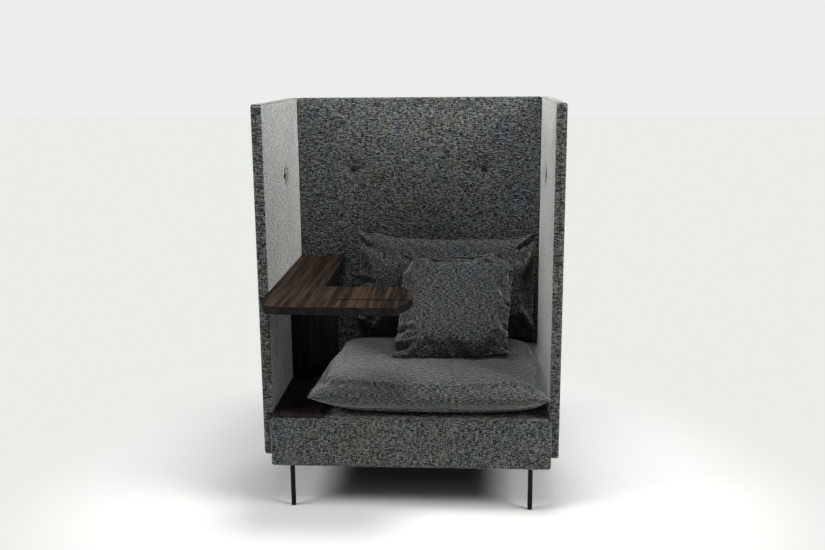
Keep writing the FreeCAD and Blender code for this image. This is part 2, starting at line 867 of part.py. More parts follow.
nodes = {
    "back_buttons": back_caps,
    "left_side_button": [mirrored(right_button)],
    "right_side_button": [right_button],
    "button_ties": ties,
    "panel_bolts": panel_bolts,
    "cross_dowels": cross_dowels,
    "base_bolts": base_bolts,
    "tee_nuts": tee_nuts,
    "base_front_rail": [front_rail],
    "base_rear_rail": [rear_rail],
    "base_left_rail": [left_rail],
    "base_right_rail": [right_rail],
    "console_rail": [console_rail],
    "corner_blocks": corner_blocks,
    "seat_webbing": straps,
    "console_deck": [console_deck],
    "deck_foam": [deck_foam],
    "base_cover": [base_cover],
    "base_front_foam": [front_foam],
    "base_front_cover": [front_cover],
    "dust_cover": [dust_cover],
    "leg_plates": leg_plates,
    "leg_plate_screws": leg_screws,
    "leg_glides": glides,
    "console_shelf": [shelf],
    "console_board": [board],
    "board_dowels": board_dowels,
    "table_core": [table_core],
    "table_veneer": [table_veneer],
    "table_edge_band": [table_band],
    "table_stiffeners": stiffeners,
    "stiffener_screws": stiffener_screws,
    "table_brackets": brackets,
    "bracket_screws": bracket_screws,
    "seat_cushion_filling": [seat_cushion["filling"]],
    "seat_cushion_top_cover": [seat_cushion["front"]],
    "seat_cushion_bottom_cover": [seat_cushion["rear"]],
    "back_cushion_filling": [back_cushion["filling"]],
    "back_cushion_front_cover": [back_cushion["front"]],
    "back_cushion_rear_cover": [back_cushion["rear"]],
    "throw_pillow_filling": [pillow["filling"]],
    "throw_pillow_front_cover": [pillow["front"]],
    "throw_pillow_rear_cover": [pillow["rear"]],
}
for side_name, panel in (("left_side", left_side), ("right_side", right_side), ("back", back)):
    nodes[side_name + "_core"] = [panel["core"]]
    nodes[side_name + "_foam"] = [panel["inner_foam"], panel["outer_foam"]]
    nodes[side_name + "_inner_cover"] = [panel["inner_cover"]]
    nodes[side_name + "_outer_cover"] = [panel["outer_cover"]]
for name, shape in legs.items():
    nodes[name] = [shape]

os.makedirs("parts", exist_ok=True)
for name, shapes in nodes.items():
    solids = []
    for shape in shapes:
        solids += shape.Solids
    whole = solids[0] if len(solids) == 1 else Part.makeCompound(solids)
    whole.exportStep("parts/" + name + ".step")
    print(name, len(solids), "solids", round(whole.Volume / 1000, 1), "cm3", whole.isValid())
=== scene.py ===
import json
import math

import bmesh
import bpy
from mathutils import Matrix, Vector, noise


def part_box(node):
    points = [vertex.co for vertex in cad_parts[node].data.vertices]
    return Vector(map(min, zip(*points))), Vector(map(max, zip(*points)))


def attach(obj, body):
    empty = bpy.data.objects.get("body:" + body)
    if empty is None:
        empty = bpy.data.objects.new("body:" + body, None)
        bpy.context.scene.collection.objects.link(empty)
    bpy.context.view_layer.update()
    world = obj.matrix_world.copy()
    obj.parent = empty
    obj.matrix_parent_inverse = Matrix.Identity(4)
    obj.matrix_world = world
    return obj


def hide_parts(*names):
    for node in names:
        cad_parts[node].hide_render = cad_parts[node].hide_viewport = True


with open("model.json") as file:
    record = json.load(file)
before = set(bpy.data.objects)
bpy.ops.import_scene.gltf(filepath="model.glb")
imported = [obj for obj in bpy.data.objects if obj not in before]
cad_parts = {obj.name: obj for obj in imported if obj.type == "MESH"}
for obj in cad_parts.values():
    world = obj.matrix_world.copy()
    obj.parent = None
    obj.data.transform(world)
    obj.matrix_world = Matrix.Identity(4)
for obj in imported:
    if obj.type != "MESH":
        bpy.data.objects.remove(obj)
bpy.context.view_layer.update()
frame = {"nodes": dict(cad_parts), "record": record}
print("frame loaded")

# Helpers for selecting and for boxes


def clearSelection():
    if bpy.context.mode != "OBJECT":
        bpy.ops.object.mode_set(mode="OBJECT")
    bpy.ops.object.select_all(action="DESELECT")


def selectOnly(piece):
    clearSelection()
    piece.select_set(True)
    bpy.context.view_layer.objects.active = piece


def nodeSpan(*names):
    # lowest and highest corner of several CAD nodes together
    boxes = [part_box(name) for name in names]
    low = Vector([min(box[0][k] for box in boxes) for k in range(3)])
    high = Vector([max(box[1][k] for box in boxes) for k in range(3)])
    return low, high


def addBlock(name, low, high):
    clearSelection()
    bpy.ops.mesh.primitive_cube_add(size=1, location=(low + high) / 2, scale=high - low)
    bpy.ops.object.transform_apply(location=True, rotation=True, scale=True)
    piece = bpy.context.object
    piece.name = name
    piece.data.name = name
    return piece


def editMesh(piece, mode="EDGE"):
    selectOnly(piece)
    bpy.ops.object.mode_set(mode="EDIT")
    bpy.ops.mesh.select_mode(type=mode)
    bpy.ops.mesh.select_all(action="DESELECT")


def pickEdges(piece, test, sharpest=0.0):
    # of the edges whose faces meet at sharpest radians or more, those that pass the test
    mesh = bmesh.from_edit_mesh(piece.data)
    for edge in mesh.edges:
        sharp = edge.calc_face_angle(0) >= sharpest
        edge.select_set(sharp and test(edge.verts[0].co, edge.verts[1].co))
    mesh.select_flush_mode()
    bmesh.update_edit_mesh(piece.data)


def pickFaces(piece, test):
    mesh = bmesh.from_edit_mesh(piece.data)
    for face in mesh.faces:
        face.select_set(test(face.calc_center_median(), face.normal))
    bmesh.update_edit_mesh(piece.data)


def pickVertices(piece, test):
    mesh = bmesh.from_edit_mesh(piece.data)
    for vertex in mesh.verts:
        vertex.select_set(test(vertex.co))
    mesh.select_flush_mode()
    bmesh.update_edit_mesh(piece.data)


def endEdit(piece, smoothAngle=math.radians(40)):
    selectOnly(piece)
    bpy.ops.object.shade_smooth_by_angle(angle=smoothAngle)


def same(a, b, gap=1e-5):
    return abs(a - b) < gap


# Node helpers for materials


def addNode(tree, kind, inputs=None, **settings):
    made = tree.nodes.new(kind)
    for key, value in settings.items():
        setattr(made, key, value)
    for key, value in (inputs or {}).items():
        if isinstance(value, bpy.types.NodeSocket):
            tree.links.new(value, made.inputs[key])
        else:
            made.inputs[key].default_value = value
    return made


def calc(tree, operation, a, b=0.0, c=0.0):
    return addNode(tree, "ShaderNodeMath", {0: a, 1: b, 2: c}, operation=operation).outputs[0]


def weighted(tree, *terms):
    # the sum of each value times its weight
    total = None
    for value, weight in terms:
        part = calc(tree, "MULTIPLY", value, weight)
        total = part if total is None else calc(tree, "ADD", total, part)
    return total


def timesVector(tree, vector, factors):
    links = {0: vector, 1: factors.outputs[0]}
    return addNode(tree, "ShaderNodeVectorMath", links, operation="MULTIPLY").outputs[0]


def mixColors(tree, share, a, b, blend="MIX"):
    made = addNode(tree, "ShaderNodeMix", data_type="RGBA", blend_type=blend)
    for key, value in ((0, share), (6, a), (7, b)):
        if isinstance(value, bpy.types.NodeSocket):
            tree.links.new(value, made.inputs[key])
        else:
            made.inputs[key].default_value = value
    return made.outputs[2]


def remap(tree, value, low, high, toLow=0.0, toHigh=1.0):
    ends = {0: value, 1: low, 2: high, 3: toLow, 4: toHigh}
    made = addNode(tree, "ShaderNodeMapRange", ends, interpolation_type="SMOOTHSTEP")
    return made.outputs[0]


def noiseAt(tree, vector, scale, detail=2.0, roughness=0.5):
    inputs = {"Vector": vector, "Scale": scale, "Detail": detail, "Roughness": roughness}
    return addNode(tree, "ShaderNodeTexNoise", inputs).outputs["Fac"]


def stretched(tree, vector, scale, shift=(0, 0, 0)):
    inputs = {"Vector": vector, "Location": shift, "Scale": scale}
    return addNode(tree, "ShaderNodeMapping", inputs).outputs["Vector"]


def newGroup(name, inputs, outputs):
    group = bpy.data.node_groups.new(name, "ShaderNodeTree")
    for label, kind, value in inputs:
        socket = group.interface.new_socket(label, in_out="INPUT", socket_type=kind)
        if value is not None:
            socket.default_value = value
    for label, kind in outputs:
        group.interface.new_socket(label, in_out="OUTPUT", socket_type=kind)
    return group, group.nodes.new("NodeGroupInput"), group.nodes.new("NodeGroupOutput")


def makeYarnWeave():
    # tweed: short uneven slubs across, thinner yarns down, specks, slow warm and cool tints
    group, given, made = newGroup(
        "yarnWeave",
        [
            ("Vector", "NodeSocketVector", None),
            ("Streak Length", "NodeSocketFloat", 0.014),
            ("Yarn Width", "NodeSocketFloat", 0.003),
            ("Contrast", "NodeSocketFloat", 1.0),
            ("Dark", "NodeSocketColor", (0.01, 0.01, 0.01, 1)),
            ("Light", "NodeSocketColor", (0.2, 0.2, 0.2, 1)),
            ("Warm", "NodeSocketColor", (0.1, 0.08, 0.05, 1)),
            ("Cool", "NodeSocketColor", (0.05, 0.08, 0.1, 1)),
        ],
        [("Color", "NodeSocketColor"), ("Height", "NodeSocketFloat"), ("Fuzz", "NodeSocketFloat")],
    )
    vector = given.outputs["Vector"]
    perLength = calc(group, "DIVIDE", 1.0, given.outputs["Streak Length"])
    perWidth = calc(group, "DIVIDE", 1.0, given.outputs["Yarn Width"])
    weftSize = addNode(group, "ShaderNodeCombineXYZ", {0: perLength, 1: perLength, 2: perWidth})
    warpSize = addNode(group, "ShaderNodeCombineXYZ", {0: perWidth, 1: perWidth, 2: perLength})
    weft = timesVector(group, vector, weftSize)
    warp = timesVector(group, vector, warpSize)
    slubs = noiseAt(group, weft, 1.0, 1.0, 0.5)
    downYarn = noiseAt(group, stretched(group, warp, (1.0, 1.0, 0.7), (11, 5, 2)), 1.0, 1.0)
    speckSize = calc(group, "MULTIPLY", perWidth, 0.9)
    specks = noiseAt(group, vector, speckSize, 0.0)
    tone = weighted(group, (slubs, 0.54), (downYarn, 0.28), (specks, 0.18))
    centred = calc(group, "MULTIPLY", calc(group, "SUBTRACT", tone, 0.5), given.outputs["Contrast"])
    light = remap(group, calc(group, "ADD", centred, 0.5), 0.36, 0.78)
    color = mixColors(group, light, given.outputs["Dark"], given.outputs["Light"])
    slow = stretched(group, vector, (14, 14, 5), (3, 8, 1))
    warmth = noiseAt(group, slow, 1.0, 3.0, 0.7)
    coolness = noiseAt(group, stretched(group, slow, (1.2, 1.2, 0.8), (9, 4, 6)), 1.0, 3.0, 0.7)
    warmYarn = noiseAt(group, stretched(group, weft, (0.5, 0.5, 0.9), (31, 2, 9)), 1.0, 1.0)
    coolYarn = noiseAt(group, stretched(group, weft, (0.45, 0.45, 0.8), (4, 47, 6)), 1.0, 1.0)
    warmShare = weighted(group, (warmth, 0.5), (warmYarn, 0.5))
    coolShare = weighted(group, (coolness, 0.5), (coolYarn, 0.5))
    warmTint = mixColors(group, 1.0, color, given.outputs["Warm"], "MULTIPLY")
    color = mixColors(group, remap(group, warmShare, 0.48, 0.62, 0, 0.85), color, warmTint)
    coolTint = mixColors(group, 1.0, color, given.outputs["Cool"], "MULTIPLY")
    color = mixColors(group, remap(group, coolShare, 0.46, 0.62, 0, 0.85), color, coolTint)
    clusters = noiseAt(group, stretched(group, vector, (60, 60, 130), (2, 9, 4)), 1.0, 1.0)
    height = weighted(group, (slubs, 0.45), (downYarn, 0.3), (clusters, 1.1))
    group.links.new(color, made.inputs["Color"])
    group.links.new(height, made.inputs["Height"])
    group.links.new(light, made.inputs["Fuzz"])
    return group


def makeWoodGrain():
    # open-pored wood: long fibres along Y, darker pores and broad bands
    group, given, made = newGroup(
        "woodGrain",
        [
            ("Vector", "NodeSocketVector", None),
            ("Dark", "NodeSocketColor", (0.02, 0.015, 0.01, 1)),
            ("Light", "NodeSocketColor", (0.1, 0.08, 0.06, 1)),
            ("Band Width", "NodeSocketFloat", 0.03),
        ],
        [("Color", "NodeSocketColor"), ("Height", "NodeSocketFloat"), ("Gloss", "NodeSocketFloat")],
    )
    vector = given.outputs["Vector"]
    sway = noiseAt(group, stretched(group, vector, (3, 1.4, 3)), 1.0, 1.0)
    perBand = calc(group, "DIVIDE", 1.0, given.outputs["Band Width"])
    parts = addNode(group, "ShaderNodeSeparateXYZ", {0: vector})
    across = calc(group, "ADD", parts.outputs[0], calc(group, "MULTIPLY", parts.outputs[2], 0.7))
    across = calc(group, "ADD", across, calc(group, "MULTIPLY", sway, 0.03))
    lengthwise = calc(group, "MULTIPLY", parts.outputs[1], 1.6)
    acrossBands = calc(group, "MULTIPLY", across, perBand)
    bands = addNode(group, "ShaderNodeCombineXYZ", {0: acrossBands, 1: lengthwise})
    broad = noiseAt(group, bands.outputs[0], 1.0, 3.0, 0.65)
    acrossFibres = calc(group, "MULTIPLY", across, 380.0)
    fine = addNode(group, "ShaderNodeCombineXYZ", {0: acrossFibres, 1: lengthwise})
    fibres = noiseAt(group, stretched(group, fine.outputs[0], (1, 4, 1)), 1.0, 2.0)
    pores = noiseAt(group, stretched(group, fine.outputs[0], (2.4, 16, 1), (5, 1, 2)), 1.0, 1.0)
    poreMask = remap(group, pores, 0.56, 0.7)
    tone = weighted(group, (broad, 0.66), (fibres, 0.34))
    dark = given.outputs["Dark"]
    color = mixColors(group, remap(group, tone, 0.41, 0.63), dark, given.outputs["Light"])
    color = mixColors(group, calc(group, "MULTIPLY", poreMask, 0.6), color, dark)
    height = calc(group, "SUBTRACT", calc(group, "MULTIPLY", fibres, 0.5), poreMask)
    group.links.new(color, made.inputs["Color"])
    group.links.new(height, made.inputs["Height"])
    group.links.new(remap(group, tone, 0.3, 0.7), made.inputs["Gloss"])
    return group


def makeMottle():
    # fine grain with slow cloudy variation, for lacquer, foam and raw metal
    group, given, made = newGroup(
        "mottle",
        [
            ("Vector", "NodeSocketVector", None),
            ("Grain", "NodeSocketFloat", 0.001),
            ("Base", "NodeSocketColor", (0.5, 0.5, 0.5, 1)),
            ("Spread", "NodeSocketFloat", 0.2),
        ],
        [("Color", "NodeSocketColor"), ("Height", "NodeSocketFloat")],
    )
    vector = given.outputs["Vector"]
    fine = noiseAt(group, vector, calc(group, "DIVIDE", 0.5, given.outputs["Grain"]), 2.0)
    slow = noiseAt(group, vector, 9.0, 2.0)
    tone = weighted(group, (fine, 0.5), (slow, 0.5))
    offset = calc(group, "MULTIPLY", calc(group, "SUBTRACT", tone, 0.5), given.outputs["Spread"])
    inputs = {0: given.outputs["Base"], "Scale": calc(group, "ADD", 1.0, offset)}
    scaled = addNode(group, "ShaderNodeVectorMath", inputs, operation="SCALE")
    group.links.new(scaled.outputs[0], made.inputs["Color"])
    group.links.new(fine, made.inputs["Height"])
    return group


yarnWeave = makeYarnWeave()
woodGrain = makeWoodGrain()
mottle = makeMottle()


def startMaterial(name):
    material = bpy.data.materials.new(name)
    material.use_nodes = True
    tree = material.node_tree
    shader = tree.nodes["Principled BSDF"]
    return material, tree, shader


def placeGroup(tree, group, vector, values):
    made = addNode(tree, "ShaderNodeGroup")
    made.node_tree = group
    tree.links.new(vector, made.inputs["Vector"])
    for label, value in values.items():
        made.inputs[label].default_value = value
    return made


def addBump(tree, shader, height, strength, distance):
    inputs = {"Strength": strength, "Distance": distance, "Height": height}
    bump = addNode(tree, "ShaderNodeBump", inputs)
    tree.links.new(bump.outputs[0], shader.inputs["Normal"])


upholstery = {
    "dark": (0.006, 0.007, 0.008, 1),
    "light": (0.20, 0.21, 0.2, 1),
    "warm": (1.14, 1.03, 0.86, 1),
    "cool": (0.82, 0.96, 1.12, 1),
    "streakLength": 0.012,
    "yarnWidth": 0.0019,
    "contrast": 2.9,
    "leastRough": 0.85,
    "specular": 0.15,
    "sheen": 1.0,
    "sheenRoughness": 0.3,
    "sheenTint": (1.0, 1.0, 0.94, 1),
    "reliefDepth": 0.0035,
}


def makeUpholstery(name, sheetMap=None, darker=1.0):
    # the yarns follow the map of a sewn sheet, or the object's own axes where it is None
    material, tree, shader = startMaterial(name)
    if sheetMap is None:
        vector = addNode(tree, "ShaderNodeTexCoord").outputs["Object"]
    else:
        sheet = addNode(tree, "ShaderNodeUVMap", uv_map=sheetMap).outputs["UV"]
        parts = addNode(tree, "ShaderNodeSeparateXYZ", {0: sheet})
        flat = addNode(tree, "ShaderNodeCombineXYZ", {0: parts.outputs[0], 2: parts.outputs[1]})
        vector = flat.outputs[0]
    # darker below 1 dims the light yarns, making a darker copy of the cloth that serves as painted
    # shade
    light = tuple(value * darker for value in upholstery["light"][:3]) + (1,)
    weave = placeGroup(tree, yarnWeave, vector, {
        "Streak Length": upholstery["streakLength"],
        "Yarn Width": upholstery["yarnWidth"],
        "Contrast": upholstery["contrast"],
        "Dark": upholstery["dark"],
        "Light": light,
        "Warm": upholstery["warm"],
        "Cool": upholstery["cool"],
    })
    tree.links.new(weave.outputs["Color"], shader.inputs["Base Color"])
    roughness = remap(tree, weave.outputs["Fuzz"], 0.0, 1.0, 1.0, upholstery["leastRough"])
    tree.links.new(roughness, shader.inputs["Roughness"])
    shader.inputs["Specular IOR Level"].default_value = upholstery["specular"]
    shader.inputs["Sheen Weight"].default_value = upholstery["sheen"]
    shader.inputs["Sheen Roughness"].default_value = upholstery["sheenRoughness"]
    shader.inputs["Sheen Tint"].default_value = upholstery["sheenTint"]
    addBump(tree, shader, weave.outputs["Height"], 1.0, upholstery["reliefDepth"])
    return material


grainRelief = {"strength": 0.25, "depth": 0.0004}


def makeWood(name, dark, light, bandWidth, roughLow, roughHigh, upright=False, specular=0.4):
    # the grain runs along Y, or along Z in an upright board
    material, tree, shader = startMaterial(name)
    vector = addNode(tree, "ShaderNodeTexCoord").outputs["Object"]
    if upright:
        turn = {"Vector": vector, "Rotation": (math.radians(90), 0, 0)}
        vector = addNode(tree, "ShaderNodeMapping", turn).outputs["Vector"]
    grain = placeGroup(tree, woodGrain, vector, {
        "Dark": (*dark, 1), "Light": (*light, 1), "Band Width": bandWidth,
    })
    tree.links.new(grain.outputs["Color"], shader.inputs["Base Color"])
    roughness = remap(tree, grain.outputs["Gloss"], 0.0, 1.0, roughHigh, roughLow)
    tree.links.new(roughness, shader.inputs["Roughness"])
    shader.inputs["Specular IOR Level"].default_value = specular
    height = grain.outputs["Height"]
    addBump(tree, shader, height, grainRelief["strength"], grainRelief["depth"])
    return material


def makeMottled(name, base, grain, spread, rough, metallic=0.0, bump=0.2, specular=0.5):
    material, tree, shader = startMaterial(name)
    vector = addNode(tree, "ShaderNodeTexCoord").outputs["Object"]
    inputs = {"Base": (*base, 1), "Grain": grain, "Spread": spread}
    fine = placeGroup(tree, mottle, vector, inputs)
    tree.links.new(fine.outputs["Color"], shader.inputs["Base Color"])
    roughest = min(1.0, rough * 1.15)
    roughness = remap(tree, fine.outputs["Height"], 0.2, 0.8, rough * 0.85, roughest)
    tree.links.new(roughness, shader.inputs["Roughness"])
    shader.inputs["Metallic"].default_value = metallic
    shader.inputs["Specular IOR Level"].default_value = specular
    addBump(tree, shader, fine.outputs["Height"], bump, grain)
    return material


panelCloth = makeUpholstery("panelCloth")
# the buttons' cloth is the panel cloth darkened to 0.15: painted shade for the hollow each button
# sits in
buttonClothPaintedShade = makeUpholstery("buttonClothPaintedShade", darker=0.15)
# the cushions' cloth is the panel cloth darkened to 0.78: painted shade for the shade the cushions
# lie in
cushionClothPaintedShade = makeUpholstery("cushionClothPaintedShade", sheetMap="weave", darker=0.78)
# wood: darkest and lightest colour, width of a band, least and most roughness
oakPores = (0.003, 0.0025, 0.002)
smokedOak = makeWood("smokedOak", oakPores, (0.05, 0.029, 0.017), 0.018, 0.45, 0.65, specular=0.15)
# the upright board's oak is far darker than the table top's: painted shade for the shadowed bay
# under the table
uprightOakPaintedShade = makeWood(
    "uprightOakPaintedShade", oakPores, (0.016, 0.012, 0.009), 0.024, 0.5, 0.7, upright=True, specular=0.15,
)
# the shelf's oak is darker than the table top's too: painted shade for the same bay under the table
shelfOakPaintedShade = makeWood("shelfOakPaintedShade", oakPores, (0.022, 0.016, 0.011), 0.024, 0.5, 0.7, specular=0.2)
edgeOak = makeWood(
    "edgeOak", (0.003, 0.003, 0.0025), (0.012, 0.011, 0.009), 0.02, 0.45, 0.65, specular=0.15,
)
plywood = makeWood("plywood", (0.36, 0.23, 0.12), (0.62, 0.45, 0.27), 0.06, 0.6, 0.8)
frameTimber = makeWood("frameTimber", (0.42, 0.26, 0.13), (0.68, 0.5, 0.3), 0.035, 0.6, 0.8)
# the rest: base colour, size of a grain, spread of the tone, roughness
foam = makeMottled("foamCells", (0.75, 0.7, 0.52), 0.0012, 0.5, 0.95, bump=0.6, specular=0.2)
fibre = makeMottled("fibreFill", (0.82, 0.82, 0.8), 0.002, 0.3, 0.95, bump=0.6, specular=0.2)
lining = makeMottled("liningCloth", (0.015, 0.015, 0.016), 0.0008, 0.5, 0.9, specular=0.2)
webbing = makeMottled(
    "webbingWeave", (0.05, 0.045, 0.04), 0.0015, 0.6, 0.85, bump=0.6, specular=0.3,
)
powderCoat = makeMottled(
    "blackPowderCoat", (0.002, 0.002, 0.002), 0.0006, 0.5, 0.5, bump=0.15, specular=0.15,
)
zinc = makeMottled("zincSteel", (0.55, 0.55, 0.53), 0.0008, 0.25, 0.35, metallic=1.0)
nylon = makeMottled("blackNylon", (0.012, 0.012, 0.012), 0.0006, 0.3, 0.5)
slotMaterials = {
    "foam": foam,
    "fibre_filling": fibre,
    "lining_cloth": lining,
    "webbing": webbing,
    "plywood": plywood,
    "frame_timber": frameTimber,
    "smoked_oak": smokedOak,
    "black_steel": powderCoat,
    "zinc_steel": zinc,
    "black_nylon": nylon,
    "upholstery": panelCloth,
}
subparts = frame["record"]["subparts"]
slotOfNode = {entry["node"]: entry["material_slot"] for entry in subparts}
for nodeName, nodeObject in frame["nodes"].items():
    material = slotMaterials[slotOfNode[nodeName]]
    if not nodeObject.material_slots:
        nodeObject.data.materials.append(material)
    for materialSlot in nodeObject.material_slots:
        materialSlot.material = material
for materialSlot in frame["nodes"]["table_edge_band"].material_slots:
    materialSlot.material = edgeOak
print("materials made")


def finishPiece(piece, material, body, nodes=()):
    piece.data.materials.clear()
    piece.data.materials.append(material)
    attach(piece, body)
    if nodes:
        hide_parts(*nodes)


# Padded panels

panels = {
    "cornerRadius": 0.012,
    "backCornerRadius": 0.009,
    "edgeRadius": 0.007,
    "seamWidth": 0.0035,
    "seamDepth": 0.0022,
    "seamShoulder": 0.45,
    "dimpleReach": 0.055,
    "dimpleDepth": 0.0076,
    "dimpleFolds": 6,
    "foldDepth": 0.0026,
    "dimpleCuts": 26,
}
sharpEdge = 1.0  # radians between two faces


def cutThrough(axis, place):
    point = Vector((0, 0, 0))
    point[axis] = place
    across = Vector((0, 0, 0))
    across[axis] = 1
    bpy.ops.mesh.select_all(action="SELECT")
    bpy.ops.mesh.bisect(plane_co=point, plane_no=across)


def roundedPad(name, low, high, axis, cornerRadius, edgeRadius, cuts):
    # a block with rounded corners and rims and a sewn seam round its edge
    # it is cut while it is plain, so that the cuts give whole squares
    piece = addBlock(name, low, high)
    editMesh(piece)
    for way, place in cuts:
        cutThrough(way, place)
    others = [k for k in range(3) if k != axis]
    pickEdges(piece, lambda a, b: all(same(a[k], b[k]) for k in others), sharpEdge)
    bpy.ops.mesh.bevel(offset=cornerRadius, segments=6, affect="EDGES")
    pickEdges(piece, lambda a, b: same(a[axis], b[axis]), sharpEdge)
    bpy.ops.mesh.bevel(offset=edgeRadius, segments=5, affect="EDGES")
    middle = (low[axis] + high[axis]) / 2
    cutThrough(axis, middle)
    bpy.ops.mesh.bevel(offset=panels["seamWidth"] / 2, segments=4, affect="EDGES")
    bpy.ops.mesh.select_all(action="DESELECT")
    # the seam's middle sinks fully, the rows beside it by the shoulder's share
    pickVertices(piece, lambda co: same(co[axis], middle, 2e-4))
    bpy.ops.transform.shrink_fatten(value=-panels["seamDepth"])
    pickVertices(piece, lambda co: same(abs(co[axis] - middle), panels["seamWidth"] / 4, 3e-4))
    bpy.ops.transform.shrink_fatten(value=-panels["seamDepth"] * panels["seamShoulder"])
    return piece


def dividePatch(piece, axis, side, spot, reach):
    # the square round a button is divided finely
    others = [k for k in range(3) if k != axis]
    bpy.ops.mesh.select_mode(type="FACE")
    bpy.ops.mesh.select_all(action="DESELECT")
    pickFaces(
        piece,
        lambda centre, normal: normal[axis] * side > 0.99
        and all(abs(centre[k] - spot[k]) < reach for k in others),
    )
    bpy.ops.mesh.subdivide(number_cuts=panels["dimpleCuts"])


def sinkButton(piece, axis, side, spot):
    # the cloth dips to the button, with small folds running out from it
    others = [k for k in range(3) if k != axis]
    reach = panels["dimpleReach"]
    mesh = bmesh.from_edit_mesh(piece.data)
    for vertex in mesh.verts:
        if not same(vertex.co[axis], spot[axis], 1e-4):
            continue
        away = Vector([vertex.co[k] - spot[k] for k in others])
        share = away.length / reach
        if share >= 1:
            continue
        angle = math.atan2(away.y, away.x)
        fade = (1 - share) ** 2
        bowl = panels["dimpleDepth"] * fade * (1 + 1.5 * share)
        rays = math.cos(panels["dimpleFolds"] * angle + 2.0 * math.sin(angle))
        rays *= share * (1 - share) * 4
        vertex.co[axis] -= side * (bowl + panels["foldDepth"] * rays * fade * 2)
    bmesh.update_edit_mesh(piece.data)


def makePanel(name, side, axis, inward, cornerRadius, spots):
    # axis is the way through the panel, spots are its buttons' middles
    nodes = [side + "_inner_cover", side + "_outer_cover"]
    low, high = nodeSpan(*nodes)
    reach = panels["dimpleReach"] * 1.02
    others = [k for k in range(3) if k != axis]
    cuts = sorted({
        (k, round(spot[k] + shift, 6))
        for spot in spots for k in others for shift in (-reach, reach)
    })
    piece = roundedPad(name, low, high, axis, cornerRadius, panels["edgeRadius"], cuts)
    face = high[axis] if inward > 0 else low[axis]
    for spot in spots:
        spot = Vector(spot)
        spot[axis] = face
        dividePatch(piece, axis, inward, spot, reach)
        sinkButton(piece, axis, inward, spot)
    endEdit(piece)
    finishPiece(piece, panelCloth, "frame", nodes + [side + "_foam"])


buttonLow, buttonHigh = nodeSpan("left_side_button")
buttonHeight = (buttonLow.z + buttonHigh.z) / 2
buttonSize = buttonHigh.y - buttonLow.y
sideSpots = [(0, (buttonLow.y + buttonHigh.y) / 2, buttonHeight)]
backButtonLow, backButtonHigh = nodeSpan("back_buttons")
backButtonX = (backButtonHigh.x - backButtonLow.x - buttonSize) / 2
makePanel("leftPanel", "left_side", 0, 1, panels["cornerRadius"], sideSpots)
makePanel("rightPanel", "right_side", 0, -1, panels["cornerRadius"], sideSpots)
makePanel(
    "backPanel", "back", 1, -1, panels["backCornerRadius"],
    [(-backButtonX, 0, buttonHeight), (backButtonX, 0, buttonHeight)],
)
print("panels made")

# cut is the share of the radius below which the ball is cut off, and sink is how far
# the rim lies under the panel's face
buttonCap = {"rings": 16, "steps": 28, "rise": 0.0046, "cut": 0.45, "sink": 0.0062}


def makeButton(name, centre, axis, inward, nodes):
    # a covered button: a flattened dome with a rounded rim and a flat back
    clearSelection()
    radius = buttonSize / 2
    bpy.ops.mesh.primitive_uv_sphere_add(
        segments=buttonCap["steps"], ring_count=buttonCap["rings"], radius=radius,
    )
    piece = bpy.context.object
    piece.name = name
    editMesh(piece, "VERT")
    pickVertices(piece, lambda co: co.z < -radius * buttonCap["cut"])
    bpy.ops.mesh.delete(type="VERT")
    bpy.ops.mesh.select_all(action="DESELECT")
    bpy.ops.mesh.select_non_manifold()
    bpy.ops.mesh.edge_face_add()
    bpy.ops.mesh.select_all(action="SELECT")
    bpy.ops.transform.resize(value=(1, 1, buttonCap["rise"] / radius))
    bpy.ops.mesh.normals_make_consistent(inside=False)
    bpy.ops.object.mode_set(mode="OBJECT")
    if axis == 0:
        piece.rotation_euler = (0, math.radians(90) * inward, 0)
    else:
        piece.rotation_euler = (math.radians(-90) * inward, 0, 0)
    piece.location = centre
    selectOnly(piece)
    bpy.ops.object.transform_apply(location=True, rotation=True, scale=True)
    bpy.ops.object.shade_smooth()
    # the button takes the darkened cloth, which is painted shade
    finishPiece(piece, buttonClothPaintedShade, "frame", nodes)


sink = buttonCap["sink"]
sideY = sideSpots[0][1]
leftX = nodeSpan("left_side_inner_cover")[1].x - sink
rightX = nodeSpan("right_side_inner_cover")[0].x + sink
backY = nodeSpan("back_inner_cover")[0].y + sink
for name, centre, axis, inward, node in (
    ("leftButton", (leftX, sideY, buttonHeight), 0, 1, "left_side_button"),
    ("rightButton", (rightX, sideY, buttonHeight), 0, -1, "right_side_button"),
    ("backLeftButton", (-backButtonX, backY, buttonHeight), 1, -1, "back_buttons"),
    ("backRightButton", (backButtonX, backY, buttonHeight), 1, -1, "back_buttons"),
):
    makeButton(name, centre, axis, inward, [node])
print("buttons made")

# Padded base

base = {
    "topRadius": 0.018,
    "bottomRadius": 0.0085,
    "frontRadius": 0.008,
    "bodyRadius": 0.004,
}


def makeBaseFront():
    low, high = nodeSpan("base_front_cover")
    piece = addBlock("baseFrontPad", low, high)

    def alongY(a, b):
        return same(a.x, b.x) and same(a.z, b.z)

    editMesh(piece)
    pickEdges(piece, lambda a, b: alongY(a, b) and a.z > low.z + 0.01)
    bpy.ops.mesh.bevel(offset=base["topRadius"], segments=8, affect="EDGES")
    bpy.ops.mesh.select_all(action="DESELECT")
    pickEdges(piece, lambda a, b: alongY(a, b) and same(a.z, low.z) and same(abs(a.x), high.x))
    bpy.ops.mesh.bevel(offset=base["bottomRadius"], segments=5, affect="EDGES")
    bpy.ops.mesh.select_all(action="DESELECT")
    pickEdges(piece, lambda a, b: same(a.y, low.y) and same(b.y, low.y))
    bpy.ops.mesh.bevel(offset=base["frontRadius"], segments=6, affect="EDGES")
    endEdit(piece)
    nodes = ["base_front_cover", "base_front_foam"]
    finishPiece(piece, panelCloth, "frame", nodes)


